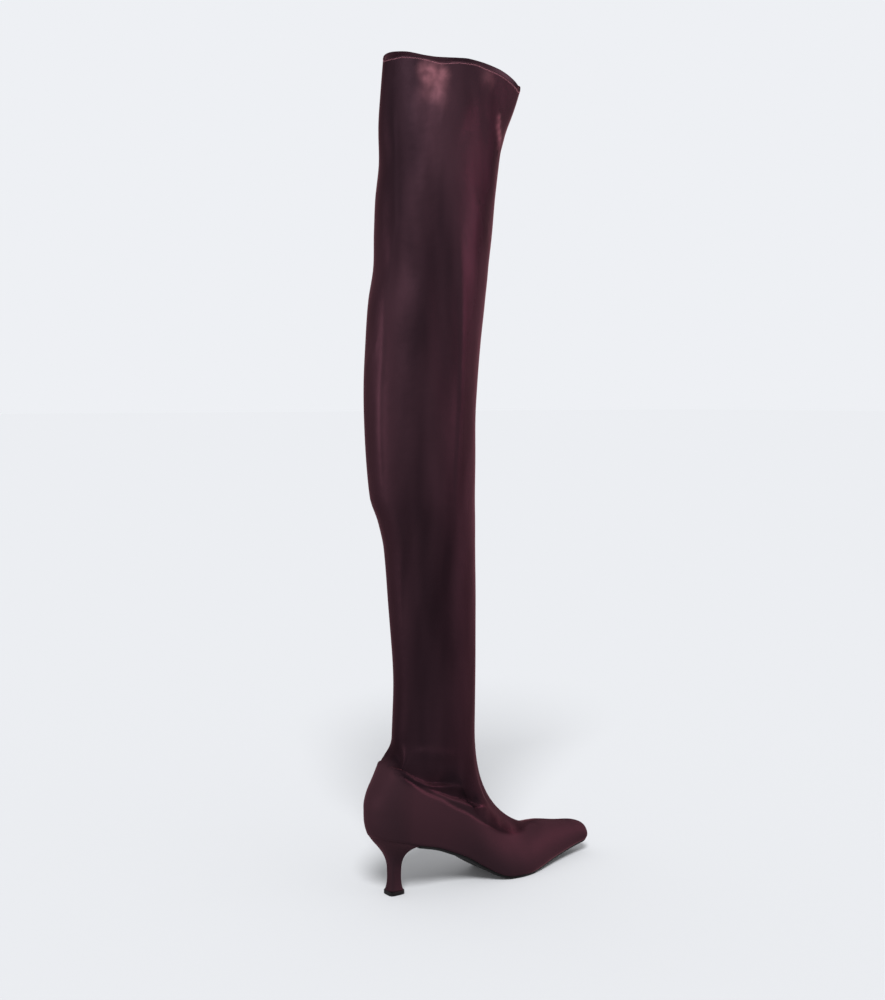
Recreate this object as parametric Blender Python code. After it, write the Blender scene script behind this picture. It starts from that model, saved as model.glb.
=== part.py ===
# Thigh high boot for the right foot: pointed toe, flared mid heel, stretch leg.
# Metres, +Z up. The toe points to -Y and the outer side of the foot to -X.
# Every form is worked out from the sizes and the section tables below.
import math

import bmesh
import bpy
from mathutils import Vector

# Foot
FOOT_LENGTH = 0.2685  # heel back to toe tip, along the floor
HEEL_HEIGHT = 0.0595  # floor to the lower edge of the upper at the heel back
BALL_WIDTH = 0.0750  # lower edge of the upper, across the ball
TOE_SPRING = 0.0115  # rise of the toe tip above the ball
COUNTER_HEIGHT = 0.132  # floor to the pump line at the heel back
INSTEP_WIDTH = 0.0560  # across the pump line
THROAT_HEIGHT = 0.0440  # floor to the throat, on the ridge of the vamp
THROAT_STATION = 0.688  # where the pump line crosses the ridge, share of the length
RIDGE_SLOPE = 0.06  # of the vamp's ridge, carried on behind the throat
TOE_ROUND = 0.0100  # length of the rounded toe end
HEEL_ROUND = 0.0330  # length of the rounded heel end, at the lower edge
COUNTER_ROUND = 0.0340  # the same along the pump line
SIDE_BULGE = 0.0058  # how far the sides stand out over the lower edge
BACK_REACH = 0.0620  # the heel back line shapes the sides this far forward

# Leg
BOOT_HEIGHT = 0.7780  # floor to the collar at the back
ANKLE_LENGTH = 0.0870  # front to back across the narrowest ring
ANKLE_WIDTH = 0.0600
ANKLE_CENTRE = 0.0760  # heel back to the middle of the ankle ring
COLLAR_INNER_RISE = 0.0200  # the collar stands higher on the inner side
COLLAR_FRONT_DROP = 0.0030  # and dips at the front
THROAT_LIFT = 0.60  # how steeply the leg leaves the throat, 0 flush with the vamp
FOOT_HANDLE = 0.28  # reach of the curve out of the pump line, share of its length
LEG_HANDLE = 0.52  # and below the lowest leg ring

# Walls and clearances
UPPER_WALL = 0.0020
SHAFT_WALL = 0.0015
GAP = 0.0003
OUTSOLE_THICKNESS = 0.0030
INSOLE_THICKNESS = 0.0025
OUTSOLE_INSET = 0.0006  # outsole edge inside the lower edge of the upper
OUTSOLE_BEVEL = 0.0022  # how much narrower the bottom face is, at each side

# Heel
HEEL_BREAST = 0.0430  # heel back to the breast
STEM_CENTRE = 0.0296  # heel back to the middle of the stem
STEM_LENGTH = 0.0114  # thinnest part of the stem, front to back
STEM_WIDTH = 0.0110
TIP_LENGTH = 0.0168  # wear piece on the floor
TIP_WIDTH = 0.0156
TIP_HEIGHT = 0.0040

# Mesh densities
HEEL_STATIONS = 21
TOE_STATIONS = 12
SIDE_ROWS = 9
FAN_ROWS = 7
LEG_ROWS = 20
HEEL_BACK_STEPS = 24
HEEL_FRONT_STEPS = 8

# Lower edge of the upper. Station is a share of the foot length, lift of the
# heel height, spring of the toe spring, outer and inner of the ball width.
SOLE_COLUMNS = ("station", "lift", "spring", "outer", "inner")
SOLE_ROWS = [
    (0.020, 1.000, 0.00, 0.345, 0.345),
    (0.071, 0.960, 0.00, 0.345, 0.345),
    (0.155, 0.845, 0.00, 0.340, 0.335),
    (0.241, 0.728, 0.00, 0.328, 0.302),
    (0.303, 0.600, 0.00, 0.318, 0.266),
    (0.371, 0.448, 0.00, 0.326, 0.240),
    (0.445, 0.218, 0.00, 0.370, 0.265),
    (0.516, 0.035, 0.00, 0.440, 0.350),
    (0.549, 0.000, 0.00, 0.465, 0.410),
    (0.592, 0.000, 0.00, 0.480, 0.470),
    (0.630, 0.000, 0.00, 0.468, 0.490),
    (0.688, 0.000, 0.14, 0.415, 0.465),
    (0.765, 0.000, 0.38, 0.317, 0.375),
    (0.846, 0.000, 0.60, 0.224, 0.270),
    (0.922, 0.000, 0.80, 0.151, 0.175),
    (1.000, 0.000, 1.00, 0.100, 0.105),
]

# Pump line. Height is a share of the way from the throat height to the counter
# height, spread of half the instep width.
PUMP_COLUMNS = ("station", "height", "spread")
PUMP_ROWS = [
    (0.000, 1.000, 0.92),
    (0.087, 0.820, 0.92),
    (0.133, 0.765, 0.95),
    (0.273, 0.600, 1.00),
    (0.329, 0.515, 1.00),
    (0.371, 0.412, 1.00),
    (0.415, 0.270, 1.00),
    (0.482, 0.100, 1.00),
    (0.549, 0.005, 1.00),
    (0.630, -0.045, 1.00),
    (0.688, 0.000, 1.00),
]

# Ridge of the vamp above the lower edge, as a share of its height at the throat.
RIDGE_COLUMNS = ("station", "height")
RIDGE_ROWS = [
    (0.688, 1.000),
    (0.747, 0.925),
    (0.848, 0.720),
    (0.922, 0.588),
    (0.966, 0.446),
    (0.987, 0.330),
    (1.000, 0.200),
]

# Heel back line. Height is a share of the counter height, forward is how far
# the line lies in front of the rearmost point, as a share of the heel height.
BACK_COLUMNS = ("height", "forward")
BACK_ROWS = [
    (0.450, 0.060),
    (0.500, 0.020),
    (0.560, 0.000),
    (0.650, 0.000),
    (0.720, 0.035),
    (0.848, 0.200),
    (0.955, 0.360),
    (1.000, 0.480),
]

# Leg rings. Height is a share of the boot height, centre and length of the
# ankle length (centre in front of the ankle's), width of the ankle width.
LEG_COLUMNS = ("height", "centre", "length", "width")
LEG_TABLE = [
    (0.193, -0.007, 1.018, 1.000),
    (0.258, 0.008, 0.995, 1.033),
    (0.355, -0.023, 1.044, 1.100),
    (0.423, -0.055, 1.080, 1.200),
    (0.456, -0.094, 1.149, 1.267),
    (0.486, -0.146, 1.246, 1.333),
    (0.531, -0.164, 1.285, 1.367),
    (0.586, -0.176, 1.309, 1.400),
    (0.623, -0.167, 1.334, 1.400),
    (0.674, -0.130, 1.359, 1.367),
    (0.722, -0.083, 1.389, 1.300),
    (0.758, -0.033, 1.380, 1.267),
    (0.803, -0.002, 1.432, 1.233),
    (0.841, 0.024, 1.456, 1.200),
    (0.877, 0.068, 1.465, 1.150),
    (0.922, 0.110, 1.568, 1.050),
    (0.961, 0.186, 1.683, 0.930),
    (1.000, 0.262, 1.782, 0.800),
]

# Heel levels. Height is a share of the heel height. Back, front and width are
# shares of the way from the stem's section to the seat's.
HEEL_COLUMNS = ("height", "back", "front", "width")
HEEL_LEVELS = [
    (0.072, 0.125, 0.160, 0.110),
    (0.120, 0.070, 0.080, 0.060),
    (0.190, 0.020, 0.025, 0.018),
    (0.280, 0.000, 0.000, 0.000),
    (0.430, 0.012, 0.004, 0.010),
    (0.530, 0.065, 0.015, 0.050),
    (0.640, 0.200, 0.040, 0.150),
    (0.720, 0.350, 0.085, 0.270),
    (0.800, 0.540, 0.160, 0.430),
    (0.900, 0.800, 0.380, 0.690),
    (0.960, 0.930, 0.660, 0.880),
    (1.000, 1.000, 1.000, 1.000),
]

# Materials: base colour, roughness
FINISHES = {
    "upper_satin": ((0.062, 0.022, 0.032), 0.42),
    "shaft_satin": ((0.066, 0.024, 0.034), 0.42),
    "insole_leather": ((0.030, 0.020, 0.020), 0.60),
    "outsole_leather": ((0.012, 0.010, 0.010), 0.35),
    "heel_satin": ((0.050, 0.018, 0.026), 0.42),
    "tip_rubber": ((0.008, 0.008, 0.008), 0.60),
}


def table_value(rows, columns, name, at):
    # Monotone cubic through one column of a table, with no overshoot
    column = columns.index(name)
    xs = [row[0] for row in rows]
    ys = [row[column] for row in rows]
    if at <= xs[0]:
        return ys[0]
    if at >= xs[-1]:
        return ys[-1]
    steps = [b - a for a, b in zip(xs, xs[1:])]
    slopes = [(b - a) / h for a, b, h in zip(ys, ys[1:], steps)]
    tangents = [slopes[0]]
    for before, after in zip(slopes, slopes[1:]):
        same_way = before * after > 0
        tangents.append(2 * before * after / (before + after) if same_way else 0.0)
    tangents.append(slopes[-1])
    i = max(k for k, x in enumerate(xs[:-1]) if x <= at)
    p = (at - xs[i]) / steps[i]
    return (
        (2 * p**3 - 3 * p**2 + 1) * ys[i]
        + (p**3 - 2 * p**2 + p) * steps[i] * tangents[i]
        + (3 * p**2 - 2 * p**3) * ys[i + 1]
        + (p**3 - p**2) * steps[i] * tangents[i + 1]
    )


def place(forward, outward, up):
    # From the heel back, from the middle line and from the floor to the frame
    return Vector((-outward, FOOT_LENGTH / 2 - forward, up))


def smooth_share(value):
    share = min(1.0, max(0.0, value))
    return share * share * (3 - 2 * share)


def round_end(distance, length):
    # Elliptical end of an outline: 0 at the end, 1 from the given length inwards
    inside = min(1.0, max(0.0, distance / length))
    return math.sqrt(1 - (1 - inside) ** 2)


def bezier(points, at):
    weights = ((1 - at) ** 3, 3 * at * (1 - at) ** 2, 3 * at**2 * (1 - at), at**3)
    return [sum(w * p[k] for w, p in zip(weights, points)) for k in range(len(points[0]))]


def sole_height(forward):
    # Lower edge of the upper above the floor
    base = OUTSOLE_THICKNESS + GAP
    station = forward / FOOT_LENGTH
    lift = table_value(SOLE_ROWS, SOLE_COLUMNS, "lift", station)
    spring = table_value(SOLE_ROWS, SOLE_COLUMNS, "spring", station)
    return base + lift * (HEEL_HEIGHT - base) + spring * TOE_SPRING


def sole_half_width(station_length, side):
    # Half width of the lower edge on the outer (+1) or inner (-1) side
    name = "outer" if side > 0 else "inner"
    station = station_length / FOOT_LENGTH
    half = BALL_WIDTH * table_value(SOLE_ROWS, SOLE_COLUMNS, name, station)
    ends = round_end(station_length, HEEL_ROUND)
    return half * ends * round_end(FOOT_LENGTH - station_length, TOE_ROUND)


def back_line(up):
    # How far the heel back line lies in front of the rearmost point
    share = up / COUNTER_HEIGHT
    return HEEL_HEIGHT * table_value(BACK_ROWS, BACK_COLUMNS, "forward", share)


def forward_of(station_length, up):
    # Forward place of a station at a height: the heel back line bends the heel end
    bend = max(0.0, 1 - station_length / BACK_REACH) ** 2
    return station_length + back_line(up) * bend


def station_of(forward):
    # Station whose lower edge lies at this forward place
    station_length = forward
    for _ in range(12):
        shift = forward_of(station_length, 0.0) - station_length
        station_length = forward - shift
    return max(0.0, station_length)


def ridge_height(station_length):
    # Ridge of the vamp, carried on behind the throat for the sides to follow
    throat = THROAT_STATION * FOOT_LENGTH
    if station_length <= throat:
        return THROAT_HEIGHT + RIDGE_SLOPE * (throat - station_length)
    share = table_value(RIDGE_ROWS, RIDGE_COLUMNS, "height", station_length / FOOT_LENGTH)
    base = sole_height(station_length)
    return base + share * (THROAT_HEIGHT - sole_height(throat))


def pump_edge(station_length):
    # Half width and height of the pump line
    station = station_length / FOOT_LENGTH
    share = table_value(PUMP_ROWS, PUMP_COLUMNS, "height", station)
    spread = table_value(PUMP_ROWS, PUMP_COLUMNS, "spread", station)
    throat = THROAT_STATION * FOOT_LENGTH
    ends = round_end(station_length, COUNTER_ROUND)
    ends *= round_end(throat - station_length, 0.46 * throat)
    height = THROAT_HEIGHT + share * (COUNTER_HEIGHT - THROAT_HEIGHT)
    return spread * INSTEP_WIDTH / 2 * ends, height


def section(foot, base, bulge, shoulder, top_half, top, at):
    # Side of the foot from the lower edge to the top: how far across and how high
    rise = top - base
    points = (
        (foot, base),
        (foot + bulge, base + 0.38 * rise),
        (shoulder[0], top - shoulder[1] * rise),
        (top_half, top),
    )
    return bezier(points, at)


def vamp_section(foot, base, bulge, ridge, top_half, at):
    # Side of the vamp up to its ridge, cut off where it reaches the top half width
    shoulder = (0.62 * foot, 0.02)
    low, high = 0.0, 1.0
    for _ in range(22):
        middle = (low + high) / 2
        across = section(foot, base, bulge, shoulder, 0.0, ridge, middle)[0]
        low, high = (middle, high) if across > top_half else (low, middle)
    end = high if top_half > 0 else 1.0
    return section(foot, base, bulge, shoulder, 0.0, ridge, at * end)


def foot_point(station_length, side, at):
    # Outer skin of the foot, at = 0 on the lower edge and 1 on the pump line
    foot = sole_half_width(station_length, side)
    base = sole_height(forward_of(station_length, 0.0))
    ends = round_end(station_length, HEEL_ROUND)
    ends *= round_end(FOOT_LENGTH - station_length, TOE_ROUND)
    bulge = SIDE_BULGE * ends
    ridge = ridge_height(station_length)
    station = station_length / FOOT_LENGTH
    if station >= THROAT_STATION:
        across, up = vamp_section(foot, base, bulge, ridge, 0.0, at)
        return place(station_length, side * across, up)
    top_half, top = pump_edge(station_length)
    flat = smooth_share((station - 0.42) / (THROAT_STATION - 0.42))
    shoulder = (
        top_half * (1 - flat) + (0.10 + 0.52 * flat) * foot,
        0.34 * (1 - 0.94 * flat),
    )
    across, up = section(foot, base, bulge, shoulder, top_half, top, at)
    vamp = smooth_share((station - 0.57) / (THROAT_STATION - 0.02 - 0.57))
    if vamp > 0:
        other = vamp_section(foot, base, bulge, ridge, top_half, at)
        across += vamp * (other[0] - across)
        up += vamp * (other[1] - up)
    return place(forward_of(station_length, up), side * across, up)


def foot_stations():
    # Stations along the foot, closer at the heel back, the throat and the toe tip
    throat = THROAT_STATION * FOOT_LENGTH
    stations = []
    for i in range(HEEL_STATIONS):
        stations.append(throat * (0.5 - 0.5 * math.cos(math.pi * i / HEEL_STATIONS)))
    for i in range(TOE_STATIONS + 1):
        share = math.sin(0.5 * math.pi * i / TOE_STATIONS)
        stations.append(throat + (FOOT_LENGTH - throat) * share)
    return stations


def leg_point(share, angle, side):
    # Outer skin of the leg at a share of the boot height, angle 0 at the back
    # and pi at the front
    centre = table_value(LEG_TABLE, LEG_COLUMNS, "centre", share)
    length = table_value(LEG_TABLE, LEG_COLUMNS, "length", share)
    width = table_value(LEG_TABLE, LEG_COLUMNS, "width", share)
    middle = ANKLE_CENTRE + centre * ANKLE_LENGTH
    forward = middle - length * ANKLE_LENGTH / 2 * math.cos(angle)
    outward = side * width * ANKLE_WIDTH / 2 * math.sin(angle)
    collar = smooth_share((share - 0.88) / 0.12)
    front = ((1 - math.cos(angle)) / 2) ** 4
    inner = math.sin(angle) if side < 0 else 0.0
    up = share * BOOT_HEIGHT
    up += collar * (COLLAR_INNER_RISE * inner - COLLAR_FRONT_DROP * front)
    return place(forward, outward, up)


def upper_rows():
    # Outer skin of the foot: rows from the lower edge to the pump line, each one
    # along the outer side to the toe and back along the inner side
    stations = foot_stations()
    loop = [(s, 1) for s in stations] + [(s, -1) for s in stations[-2:0:-1]]
    shares = [1 - (1 - j / SIDE_ROWS) ** 1.3 for j in range(SIDE_ROWS + 1)]
    return [[foot_point(s, side, at) for s, side in loop] for at in shares]


def pump_columns():
    # Columns of the foot's rows that end on the pump line, in the leg's order
    outer = list(range(HEEL_STATIONS + 1))
    return outer + [-k for k in range(HEEL_STATIONS - 1, 0, -1)]


def fan_column(start, normal, share, finish):
    # Skin from the pump line up to the lowest leg ring. It leaves in the foot's
    # own surface, apart from the front, where it rises off the vamp.
    reach = (finish - start).length
    target = finish - Vector((0, 0, LEG_HANDLE * reach))
    direct = (target - start).normalized()
    flush = (direct - normal * direct.dot(normal)).normalized()
    lift = THROAT_LIFT * smooth_share((share - 0.6) / 0.4)
    leaving = (flush * (1 - lift) + direct * lift).normalized()
    points = (start, start + leaving * (FOOT_HANDLE * reach), target, finish)
    return [Vector(bezier(points, (j / FAN_ROWS) ** 1.4)) for j in range(FAN_ROWS)]


def shaft_rows(edge, normals):
    # Outer skin of the leg: rows from the pump line to the collar
    stations = foot_stations()
    throat = stations[HEEL_STATIONS]
    low = LEG_TABLE[0][0]
    columns = []
    for k, start, normal in zip(pump_columns(), edge, normals):
        side = 1 if k >= 0 else -1
        share = stations[abs(k)] / throat
        angle = math.acos(1 - 2 * share)
        rings = [
            leg_point(low + (1 - low) * j / LEG_ROWS, angle, side)
            for j in range(LEG_ROWS + 1)
        ]
        columns.append(fan_column(start, normal, share, rings[0]) + rings)
    return [list(row) for row in zip(*columns)]


def row_normals(rows):
    # Outward normals of a skin given as closed rows, lowest row first
    count = len(rows[0])
    normals = []
    for j, row in enumerate(rows):
        above = rows[min(j + 1, len(rows) - 1)]
        below = rows[max(j - 1, 0)]
        line = []
        for i in range(count):
            along = row[(i + 1) % count] - row[i - 1]
            line.append(along.cross(above[i] - below[i]).normalized())
        normals.append(line)
    return normals


def middle_normals(rows, normals):
    # On the ridge, at the toe tip and at the heel back both sides share a normal
    count = len(rows[0])
    for row, line in zip(rows, normals):
        for i in range(count):
            if (row[i] - row[-i % count]).length < 1e-6:
                line[i] = Vector((0, line[i].y, line[i].z)).normalized()
    return normals


def part_at_pump_line(foot, foot_normals, leg, leg_normals):
    # One normal for both walls along the pump line, and the clearance between them
    columns = pump_columns()
    count = len(columns)
    edge = [foot[-1][k] for k in columns]
    for i, k in enumerate(columns):
        along = (edge[(i + 1) % count] - edge[i - 1]).normalized()
        normal = foot_normals[-1][k] + leg_normals[0][i]
        normal = (normal - along * normal.dot(along)).normalized()
        foot_normals[-1][k] = normal
        leg_normals[0][i] = normal
        leg[0][i] = edge[i] + normal.cross(along) * GAP
    foot_normals[-1][-HEEL_STATIONS] = foot_normals[-1][HEEL_STATIONS]


def outline(stations, inset):
    # Lower edge of the upper moved inwards in plan: outer side, then inner side
    sides = []
    for side in (1, -1):
        edge = []
        for station_length in stations:
            step = 0.0002
            ahead = foot_point(min(FOOT_LENGTH, station_length + step), side, 0)
            behind = foot_point(max(0.0, station_length - step), side, 0)
            along = (ahead - behind).xy.normalized()
            inward = Vector((-along.y, along.x)) * side
            point = foot_point(station_length, side, 0)
            moved = point.xy + inward * inset
            edge.append((FOOT_LENGTH / 2 - moved.y, -moved.x))
        sides.append(edge)
    return sides


def add_object(name, mesh_builder, material_name):
    mesh = bmesh.new()
    mesh_builder(mesh)
    bmesh.ops.remove_doubles(mesh, verts=mesh.verts, dist=1e-6)
    bmesh.ops.recalc_face_normals(mesh, faces=mesh.faces)
    if mesh.calc_volume(signed=True) < 0:
        bmesh.ops.reverse_faces(mesh, faces=mesh.faces)
    data = bpy.data.meshes.new(name)
    mesh.to_mesh(data)
    mesh.free()
    for polygon in data.polygons:
        polygon.use_smooth = True
    thing = bpy.data.objects.new(name, data)
    colour, roughness = FINISHES[material_name]
    material = bpy.data.materials.new(material_name)
    material.use_nodes = True
    shader = material.node_tree.nodes["Principled BSDF"]
    shader.inputs["Base Color"].default_value = (*colour, 1.0)
    shader.inputs["Roughness"].default_value = roughness
    data.materials.append(material)
    collection.objects.link(thing)
    return thing


def join_rows(mesh, rows, closed):
    # Quads between rows of points of equal length
    grid = [[mesh.verts.new(point) for point in row] for row in rows]
    for lower, upper in zip(grid, grid[1:]):
        count = len(lower)
        for i in range(count if closed else count - 1):
            k = (i + 1) % count
            mesh.faces.new((lower[i], lower[k], upper[k], upper[i]))
    return grid


def build_wall(mesh, rows, normals, thickness, open_steps):
    # Outer and inner skin with a rim below, and one above along the open steps
    inner = [
        [point - normal * thickness for point, normal in zip(row, line)]
        for row, line in zip(rows, normals)
    ]
    outer_grid = join_rows(mesh, rows, True)
    inner_grid = join_rows(mesh, inner, True)
    count = len(rows[0])
    for level, steps in ((0, range(count)), (-1, open_steps)):
        outside, inside = outer_grid[level], inner_grid[level]
        for i in steps:
            k = (i + 1) % count
            mesh.faces.new((outside[i], outside[k], inside[k], inside[i]))


def build_upper(mesh):
    count = len(foot[0])
    half = HEEL_STATIONS
    open_steps = list(range(half)) + list(range(count - half, count))
    build_wall(mesh, foot, foot_normals, UPPER_WALL, open_steps)


def build_shaft(mesh):
    build_wall(mesh, leg, leg_normals, SHAFT_WALL, range(len(leg[0])))


def build_plate(mesh, stations, top_inset, bottom_inset, top_drop, thickness):
    # Plate that follows the lower edge of the upper
    corners = {}
    for level, inset, drop in (
        ("top", top_inset, top_drop),
        ("bottom", bottom_inset, top_drop + thickness),
    ):
        for side, edge in zip((1, -1), outline(stations, inset)):
            corners[level, side] = [
                mesh.verts.new(place(f, o, sole_height(f) - drop)) for f, o in edge
            ]
    strips = (
        (corners["top", 1], corners["top", -1]),
        (corners["top", -1], corners["bottom", -1]),
        (corners["bottom", -1], corners["bottom", 1]),
        (corners["bottom", 1], corners["top", 1]),
    )
    for first, second in strips:
        for i in range(len(stations) - 1):
            mesh.faces.new((first[i], first[i + 1], second[i + 1], second[i]))
    for i in (0, -1):
        mesh.faces.new(
            (
                corners["top", 1][i],
                corners["top", -1][i],
                corners["bottom", -1][i],
                corners["bottom", 1][i],
            )
        )


def build_outsole(mesh):
    first = station_of(HEEL_BREAST + GAP)
    stations = [first] + [s for s in foot_stations() if s > first + 0.002]
    bottom = OUTSOLE_INSET + OUTSOLE_BEVEL
    build_plate(mesh, stations, OUTSOLE_INSET, bottom, GAP, OUTSOLE_THICKNESS)


def build_insole(mesh):
    inset = UPPER_WALL + GAP
    build_plate(mesh, foot_stations(), inset, inset, -INSOLE_THICKNESS, INSOLE_THICKNESS)


def heel_section():
    # Stem section and seat outline, point for point, from the outer breast
    # corner round the back to the inner one and along the breast
    last = station_of(HEEL_BREAST)
    count = 60
    stations = [last * (1 - math.cos(0.5 * math.pi * i / count)) for i in range(count + 1)]
    outer, inner = outline(stations, OUTSOLE_INSET)
    path = [Vector(p) for p in outer[::-1] + inner[1:]]
    lengths = [0.0]
    for a, b in zip(path, path[1:]):
        lengths.append(lengths[-1] + (b - a).length)
    seat = []
    for k in range(HEEL_BACK_STEPS + 1):
        at = lengths[-1] * k / HEEL_BACK_STEPS
        i = min(len(path) - 2, max(j for j, value in enumerate(lengths) if value <= at))
        share = (at - lengths[i]) / (lengths[i + 1] - lengths[i])
        seat.append(path[i].lerp(path[i + 1], share))
    for k in range(1, HEEL_FRONT_STEPS):
        seat.append(path[-1].lerp(path[0], k / HEEL_FRONT_STEPS))
    angles = [
        math.pi * (0.25 + 1.5 * k / HEEL_BACK_STEPS) for k in range(HEEL_BACK_STEPS + 1)
    ]
    angles += [
        math.pi * (1.75 + 0.5 * k / HEEL_FRONT_STEPS) for k in range(1, HEEL_FRONT_STEPS)
    ]
    return seat, angles


def squarish(length, width, angle):
    # Point of a section with rounded corners, from its centre
    c, s = math.cos(angle), math.sin(angle)
    power = 0.45
    return Vector(
        (
            math.copysign(abs(c) ** power, c) * length / 2,
            math.copysign(abs(s) ** power, s) * width / 2,
        )
    )


def build_heel(mesh):
    seat, angles = heel_section()
    rows = []
    for level in [row[0] for row in HEEL_LEVELS]:
        back = table_value(HEEL_LEVELS, HEEL_COLUMNS, "back", level)
        front = table_value(HEEL_LEVELS, HEEL_COLUMNS, "front", level)
        width = table_value(HEEL_LEVELS, HEEL_COLUMNS, "width", level)
        row = []
        for target, angle in zip(seat, angles):
            start = squarish(STEM_LENGTH, STEM_WIDTH, angle)
            start.x += STEM_CENTRE
            along = front if target.x > STEM_CENTRE else back
            forward = start.x + along * (target.x - start.x)
            outward = start.y + width * (target.y - start.y)
            top = sole_height(target.x) - GAP
            up = level * (HEEL_HEIGHT + level * (top - HEEL_HEIGHT))
            row.append(place(forward, outward, up))
        rows.append(row)
    for point in rows[0]:
        point.z = TIP_HEIGHT + GAP
    grid = join_rows(mesh, rows, True)
    mesh.faces.new(grid[0])
    top = grid[-1]
    last = HEEL_BACK_STEPS
    mesh.faces.new([top[1], top[0]] + top[:last - 1:-1][:HEEL_FRONT_STEPS] + [top[last - 1]])
    for k in range(1, last // 2 - 1):
        mesh.faces.new((top[k], top[k + 1], top[last - k - 1], top[last - k]))
    mesh.faces.new((top[last // 2 - 1], top[last // 2], top[last // 2 + 1]))


def build_tip(mesh):
    angles = heel_section()[1]
    rows = []
    for up in (0.0, TIP_HEIGHT):
        row = []
        for angle in angles:
            point = squarish(TIP_LENGTH, TIP_WIDTH, angle)
            row.append(place(STEM_CENTRE + point.x, point.y, up))
        rows.append(row)
    grid = join_rows(mesh, rows, True)
    mesh.faces.new(grid[0])
    mesh.faces.new(grid[1])


for old in list(bpy.data.objects):
    bpy.data.objects.remove(old, do_unlink=True)
collection = bpy.data.collections.new("thigh_high_boot")
bpy.context.scene.collection.children.link(collection)

foot = upper_rows()
foot_normals = middle_normals(foot, row_normals(foot))
leg = shaft_rows(
    [foot[-1][k] for k in pump_columns()], [foot_normals[-1][k] for k in pump_columns()]
)
leg_normals = middle_normals(leg, row_normals(leg))
part_at_pump_line(foot, foot_normals, leg, leg_normals)

add_object("upper", build_upper, "upper_satin")
add_object("shaft", build_shaft, "shaft_satin")
add_object("insole", build_insole, "insole_leather")
add_object("outsole", build_outsole, "outsole_leather")
add_object("heel", build_heel, "heel_satin")
add_object("heel_tip", build_tip, "tip_rubber")
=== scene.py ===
import math

import bmesh
import bpy
import numpy as np
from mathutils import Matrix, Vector, noise


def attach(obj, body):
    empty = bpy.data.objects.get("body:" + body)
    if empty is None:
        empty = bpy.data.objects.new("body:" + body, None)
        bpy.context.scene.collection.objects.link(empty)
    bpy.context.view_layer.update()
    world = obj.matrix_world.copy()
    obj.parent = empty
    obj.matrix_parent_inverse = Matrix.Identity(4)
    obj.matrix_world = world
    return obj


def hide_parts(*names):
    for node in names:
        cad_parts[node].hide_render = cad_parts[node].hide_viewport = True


# Thigh high boot in stretch satin, right foot. Metres, toe towards -Y, outer side towards -X.
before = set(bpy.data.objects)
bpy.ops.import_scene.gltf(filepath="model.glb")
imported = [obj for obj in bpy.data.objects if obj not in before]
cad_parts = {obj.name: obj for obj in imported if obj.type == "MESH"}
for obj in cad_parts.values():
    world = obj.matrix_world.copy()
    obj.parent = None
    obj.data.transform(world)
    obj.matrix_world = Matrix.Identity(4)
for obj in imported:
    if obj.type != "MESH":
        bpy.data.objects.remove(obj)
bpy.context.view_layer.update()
mm = 0.001
weldDistance = 1e-6
leastLength = 1e-12  # keeps a vector of no length from dividing by 0

# The last, with the heel back at 0 and the floor at 0
lastSizes = {
    "length": 0.2685, "heelHeight": 0.0595, "ballWidth": 0.0750, "toeSpring": 0.0115,
    "counterHeight": 0.132, "instepWidth": 0.0560, "throatHeight": 0.0440, "throatStation": 0.688,
    "ridgeSlope": 0.06, "toeRound": 0.0100, "heelRound": 0.0330, "counterRound": 0.0340,
    "sideBulge": 0.0058, "backReach": 0.0620, "outsole": 0.0030, "gap": 0.0003,
}

# How the sides close over the foot: stations are shares of the length
sectionSettings = {
    "throatRound": 0.46,  # length of the pump line's rounded end, share of the throat's station
    "sideHandle": 0.38, "vampShoulder": (0.62, 0.02), "halvings": 22,
    "flatFrom": 0.42, "shoulderReach": (0.10, 0.52), "shoulderDrop": 0.34, "flatDrop": 0.94,
    "vampFrom": 0.57, "vampLead": 0.02,
}

# The leg, measured as it stands
legSizes = {
    "height": 0.7780, "ankleLength": 0.0870, "ankleWidth": 0.0600, "ankleCentre": 0.0760,
    "collarInnerRise": 0.0200, "collarFrontDrop": 0.0030, "frontFocus": 4,
    "throatLift": 0.60, "footHandle": 0.28, "legHandle": 0.52,
    "collarBlend": (0.88, 0.12), "cutBlend": (0.93, 0.07),  # start and length, shares of the height
}

# Lower edge of the upper, shares of length, heel height, toe spring and ball width
soleTable = {
    "columns": ("station", "lift", "spring", "outer", "inner"),
    "rows": [
        (0.020, 1.000, 0.00, 0.345, 0.345),
        (0.071, 0.960, 0.00, 0.345, 0.345),
        (0.155, 0.845, 0.00, 0.340, 0.335),
        (0.241, 0.728, 0.00, 0.328, 0.302),
        (0.303, 0.600, 0.00, 0.318, 0.266),
        (0.371, 0.448, 0.00, 0.326, 0.240),
        (0.445, 0.218, 0.00, 0.370, 0.265),
        (0.516, 0.035, 0.00, 0.440, 0.350),
        (0.549, 0.000, 0.00, 0.465, 0.410),
        (0.592, 0.000, 0.00, 0.480, 0.470),
        (0.630, 0.000, 0.00, 0.468, 0.490),
        (0.688, 0.000, 0.14, 0.415, 0.465),
        (0.765, 0.000, 0.38, 0.317, 0.375),
        (0.846, 0.000, 0.60, 0.224, 0.270),
        (0.922, 0.000, 0.80, 0.151, 0.175),
        (1.000, 0.000, 1.00, 0.100, 0.105),
    ],
}

# Line where the stiff foot ends and the leg begins, throat height to counter height
pumpTable = {
    "columns": ("station", "height", "spread"),
    "rows": [
        (0.000, 1.000, 0.92), (0.087, 0.820, 0.92), (0.133, 0.765, 0.95), (0.273, 0.600, 1.00),
        (0.329, 0.515, 1.00), (0.371, 0.412, 1.00), (0.415, 0.270, 1.00), (0.482, 0.100, 1.00),
        (0.549, 0.005, 1.00), (0.630, -0.045, 1.00), (0.688, 0.000, 1.00),
    ],
}

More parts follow.
